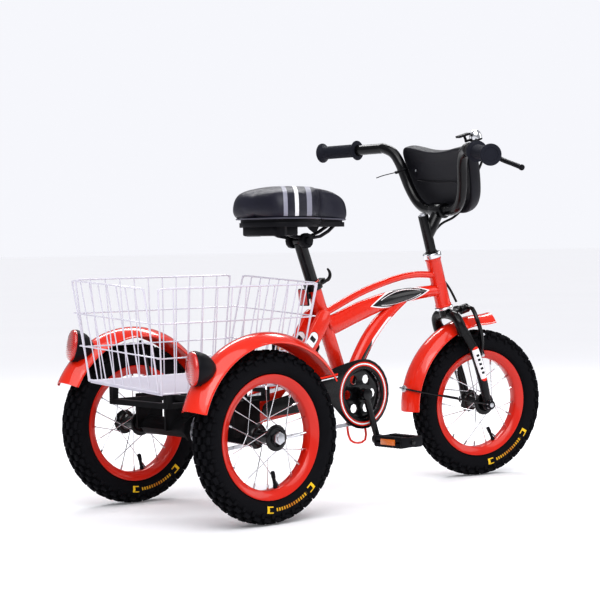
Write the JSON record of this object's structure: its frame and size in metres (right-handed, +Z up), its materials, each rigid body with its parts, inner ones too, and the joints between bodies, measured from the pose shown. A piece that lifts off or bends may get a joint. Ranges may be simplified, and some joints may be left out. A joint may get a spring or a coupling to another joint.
{
  "type": "children's tricycle",
  "caption": "Child's pedal tricycle with a rear wire basket, spoked wheels, fenders, chain drive, front caliper brake and a padded saddle.",
  "frame": {"origin": "centre of the whole tricycle's box, on the ground that its three tyres stand on", "axes": "+X forward along the wheelbase, +Y to the rider's left, +Z up"},
  "size_m": [1.1194, 0.6423, 0.7264],
  "materials": {
    "red_paint": "gloss",
    "red_plastic": "gloss",
    "red_rim": "gloss",
    "black_paint": "gloss",
    "tyre": "matte",
    "grip_rubber": "matte",
    "chrome": "polished",
    "steel": "satin",
    "white_coated_wire": "satin",
    "black_plastic": "satin",
    "saddle_vinyl": "satin",
    "bag_shell": "satin",
    "cable_sheath": "satin"
  },
  "bodies": {
    "frame": {"seat_tube": "red_paint", "bottom_bracket_shell": "red_paint", "head_tube": "red_paint", "headset_lower": "chrome", "headset_upper": "chrome", "main_tube": "red_paint", "upper_tube": "red_paint", "down_tube": "red_paint", "stay_left": "red_paint", "stay_right": "red_paint", "chain_stays": "red_paint", "chain_guard": "black_plastic", "chain": "steel", "axle_housing": "black_paint", "seat_collar": "black_paint", "rear_reflector": "black_plastic", "left_fender": "red_plastic", "left_lamp": "black_plastic", "right_fender": "red_plastic", "right_lamp": "black_plastic", "basket_floor": "white_coated_wire", "basket_left": "white_coated_wire", "basket_right": "white_coated_wire", "basket_front": "white_coated_wire", "basket_rear": "white_coated_wire"},
    "steering": {"fork": "black_paint", "front_axle": "steel", "front_fender": "red_plastic", "fender_stay": "black_paint", "stem": "black_paint", "handlebar": "black_paint", "grip_left": "grip_rubber", "grip_right": "grip_rubber", "lever_clamp": "black_paint", "brake_cable": "cable_sheath", "bell": "chrome", "bag": "bag_shell"},
    "front_wheel": {"front_tyre": "tyre", "front_rim": "red_rim", "front_hub_spokes": "steel"},
    "drive_axle": {"rear_shaft": "steel", "rear_sprocket": "black_paint", "right_tyre": "tyre", "right_rim": "red_rim", "right_hub_spokes": "steel"},
    "left_wheel": {"left_tyre": "tyre", "left_rim": "red_rim", "left_hub_spokes": "steel"},
    "crankset": {"cranks": "black_paint", "chainring": "black_paint"},
    "left_pedal": {"pedal_left": "black_plastic"},
    "right_pedal": {"pedal_right": "black_plastic"},
    "post": {"seat_post": "black_paint"},
    "saddle": {"saddle_base": "black_plastic", "saddle_cushion": "saddle_vinyl"},
    "seat_lever": {"quick_release_lever": "black_paint"},
    "front_brake_lever": {"brake_lever": "black_paint"},
    "left_caliper": {"caliper_arm_left": "black_paint"},
    "right_caliper": {"caliper_arm_right": "black_paint"},
    "bell_trigger": {"bell_thumb": "black_plastic"}
  },
  "joints": [
    {"name": "steering_turn", "type": "hinge", "parent": "frame", "child": "steering", "pos_m": [0.29779, 0, 0.41726], "axis": [-0.286, 0, 0.9582], "range_deg": [-33.6, 56.4]},
    {"name": "front_wheel_spin", "type": "hinge", "parent": "steering", "child": "front_wheel", "pos_m": [0.40427, -0.00555, 0.15684], "axis": [0.1894, 0.9803, 0.0565], "continuous": true},
    {"name": "drive_spin", "type": "hinge", "parent": "frame", "child": "drive_axle", "pos_m": [-0.351, 0, 0.157], "axis": [0, 1, 0], "continuous": true},
    {"name": "left_wheel_spin", "type": "hinge", "parent": "frame", "child": "left_wheel", "pos_m": [-0.351, 0.20465, 0.157], "axis": [0, 1, 0], "continuous": true},
    {"name": "crank_spin", "type": "hinge", "parent": "frame", "child": "crankset", "pos_m": [0.029, 0, 0.201], "axis": [0, 1, 0], "continuous": true},
    {"name": "left_pedal_spin", "type": "hinge", "parent": "crankset", "child": "left_pedal", "pos_m": [-0.00258, 0.118, 0.29272], "axis": [0, 1, 0], "continuous": true},
    {"name": "right_pedal_spin", "type": "hinge", "parent": "crankset", "child": "right_pedal", "pos_m": [0.06058, -0.118, 0.10928], "axis": [0, 1, 0], "continuous": true},
    {"name": "seat_height", "type": "slide", "parent": "frame", "child": "post", "axis": [-0.3551, 0, 0.9348], "range_m": [-0.05, 0.045]},
    {"name": "saddle_tilt", "type": "hinge", "parent": "post", "child": "saddle", "pos_m": [-0.08783, 0, 0.50856], "axis": [0, 1, 0], "range_deg": [-10, 10]},
    {"name": "seat_lever_flip", "type": "hinge", "parent": "frame", "child": "seat_lever", "pos_m": [-0.03148, -0.012, 0.4278], "axis": [0, 1, 0], "range_deg": [0, 150]},
    {"name": "brake_pull", "type": "hinge", "parent": "steering", "child": "front_brake_lever", "pos_m": [0.22862, -0.20388, 0.6777], "axis": [-0.1376, 0.218, -0.9662], "range_deg": [0, 14], "stiffness_Nm_per_rad": 2, "springref_deg": -5.73},
    {"name": "left_caliper_close", "type": "hinge", "parent": "steering", "child": "left_caliper", "pos_m": [0.36433, -0.00949, 0.35886], "axis": [-0.9393, 0.1977, -0.2804], "range_deg": [0, 0.8]},
    {"name": "right_caliper_close", "type": "hinge", "parent": "steering", "child": "right_caliper", "pos_m": [0.36433, -0.00949, 0.35886], "axis": [0.9393, -0.1977, 0.2804], "range_deg": [0, 0.8]},
    {"name": "bell_flick", "type": "hinge", "parent": "steering", "child": "bell_trigger", "pos_m": [0.21899, -0.18672, 0.71726], "axis": [-0.286, 0, 0.9582], "range_deg": [0, 18], "stiffness_Nm_per_rad": 0.02, "springref_deg": -5.73}
  ],
  "couplings": [
    {"joint": "crank_spin", "follows": "drive_spin", "ratio": 0.71429},
    {"joint": "left_caliper_close", "follows": "brake_pull", "ratio": 0.057},
    {"joint": "right_caliper_close", "follows": "brake_pull", "ratio": 0.057}
  ]
}
